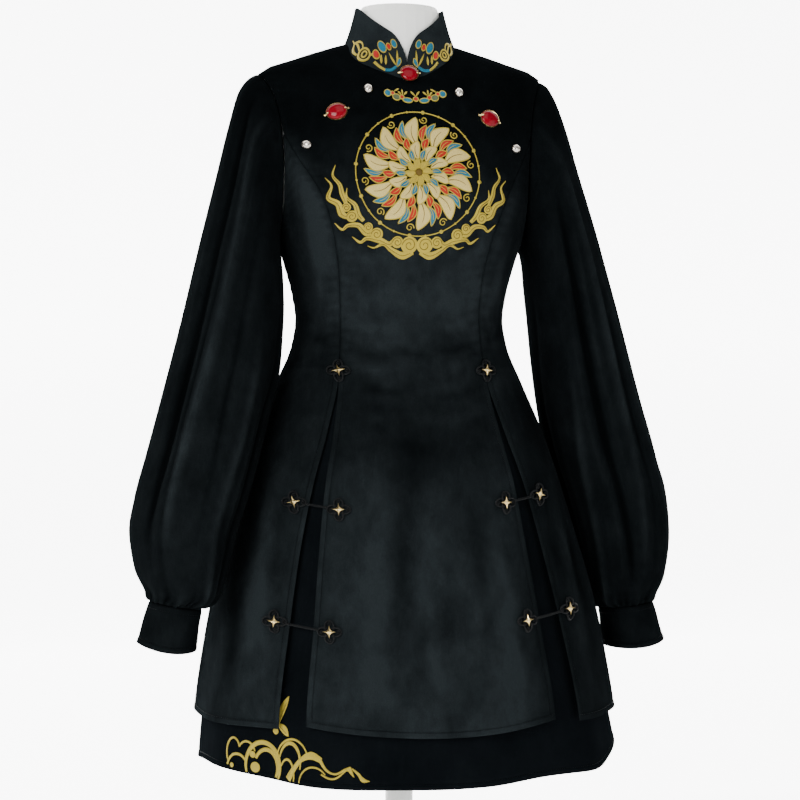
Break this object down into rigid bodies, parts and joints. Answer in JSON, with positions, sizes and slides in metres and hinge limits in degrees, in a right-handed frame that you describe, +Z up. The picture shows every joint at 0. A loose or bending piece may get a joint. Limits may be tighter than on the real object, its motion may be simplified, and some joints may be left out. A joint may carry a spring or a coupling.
{
  "type": "velvet qipao on a limbless dress form",
  "caption": "Short black velvet qipao with stand collar, bishop sleeves, slit apron front, plain underskirt, frog fastenings, gilt stars and red stones, on a dress form with a round foot.",
  "frame": {"origin": "middle of the round foot's underside, on the floor", "axes": "+Z up, -Y out of the front of the dress, +X towards the wearer's left"},
  "size_m": [0.6359, 0.3827, 1.4115],
  "materials": {
    "velvet": "soft pile",
    "plain_cloth": "matt",
    "braid": "satin cord",
    "gilt": "polished",
    "silver": "polished",
    "red_stone": "polished",
    "form_cover": "matt",
    "stand": "satin"
  },
  "bodies": {
    "root": {"back_l": "velvet", "back_r": "velvet", "collar_l": "velvet", "collar_r": "velvet", "cord_low_l": "braid", "cord_low_r": "braid", "cord_mid_l": "braid", "cord_mid_r": "braid", "cuff_l": "plain_cloth", "cuff_r": "plain_cloth", "dome_lower_l": "silver", "dome_lower_r": "silver", "dome_upper_l": "silver", "dome_upper_r": "silver", "foot": "stand", "form": "form_cover", "front_centre": "velvet", "jewel_l": "red_stone", "jewel_neck": "red_stone", "jewel_r": "red_stone", "knot_low_front_l": "braid", "knot_low_front_r": "braid", "knot_low_side_l": "braid", "knot_low_side_r": "braid", "knot_mid_front_l": "braid", "knot_mid_front_r": "braid", "knot_mid_side_l": "braid", "knot_mid_side_r": "braid", "knot_top_l": "braid", "knot_top_r": "braid", "pole": "stand", "setting_l": "gilt", "setting_neck": "gilt", "setting_r": "gilt", "side_front_l": "velvet", "side_front_r": "velvet", "sleeve_l": "velvet", "sleeve_r": "velvet", "star_low_front_l": "gilt", "star_low_front_r": "gilt", "star_low_side_l": "gilt", "star_low_side_r": "gilt", "star_mid_front_l": "gilt", "star_mid_front_r": "gilt", "star_mid_side_l": "gilt", "star_mid_side_r": "gilt", "star_top_l": "gilt", "star_top_r": "gilt", "underskirt_back": "plain_cloth", "underskirt_front": "plain_cloth"}
  },
  "joints": []
}
